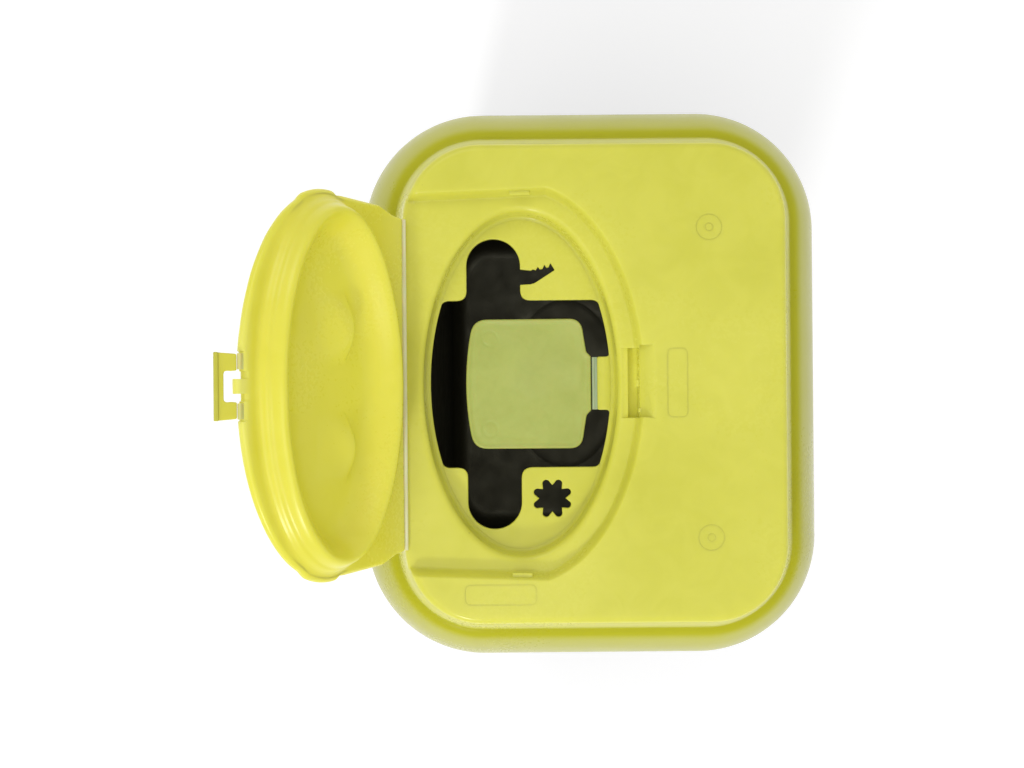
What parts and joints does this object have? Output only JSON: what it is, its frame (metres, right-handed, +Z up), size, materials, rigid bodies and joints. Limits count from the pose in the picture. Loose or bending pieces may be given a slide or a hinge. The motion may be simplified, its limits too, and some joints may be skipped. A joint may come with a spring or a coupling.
{
  "type": "sharps container",
  "caption": "Small rectangular sharps bin: dark tapered tub under a deep push-fit yellow lid with a slotted drop opening, sprung flap and hinged latching flip lid.",
  "frame": {"origin": "centre of the tub's flat underside", "axes": "+Z up; +X from the flip lid's hinge side towards its latch side; +Y along the long side of the footprint"},
  "size_m": [0.126, 0.1254, 0.2281],
  "materials": {
    "tub_plastic": "fine satin, near black",
    "label_paper": "plain ruled sticker",
    "lid_plastic": "translucent yellow, satin",
    "flip_lid_plastic": "translucent yellow, satin",
    "hinge_web_plastic": "thin, paler translucent",
    "flap_film": "thin translucent greenish"
  },
  "bodies": {
    "container": {"base_tub": "tub_plastic", "user_label": "label_paper", "lid_shell": "lid_plastic", "skirt_snaps": "lid_plastic", "recess_clips": "lid_plastic", "latch_catch": "lid_plastic", "needle_plate": "lid_plastic", "blade_plate": "lid_plastic", "flap_hinge_tab": "lid_plastic", "flap_hinge_web": "hinge_web_plastic", "flip_lid_hinge_web": "hinge_web_plastic"},
    "flip_lid": {"flip_lid": "flip_lid_plastic", "flip_lid_ears": "flip_lid_plastic", "plug_ring": "flip_lid_plastic", "latch_hinge_web": "hinge_web_plastic"},
    "latch": {"latch_tab": "flip_lid_plastic"},
    "safety_flap": {"safety_flap": "flap_film"}
  },
  "joints": [
    {"name": "flip_lid_hinge", "type": "hinge", "parent": "container", "child": "flip_lid", "pos_m": [-0.041, 0, 0.185], "axis": [0, 1, 0], "range_deg": [-46, 124]},
    {"name": "latch_hinge", "type": "hinge", "parent": "flip_lid", "child": "latch", "pos_m": [-0.06857, 0, 0.22587], "axis": [0, 1, 0], "range_deg": [-30, 132]},
    {"name": "safety_flap_hinge", "type": "hinge", "parent": "container", "child": "safety_flap", "pos_m": [-0.0002, 0, 0.1782], "axis": [0, -1, 0], "range_deg": [0, 80], "stiffness_Nm_per_rad": 0.0006, "springref_deg": -28.65}
  ]
}
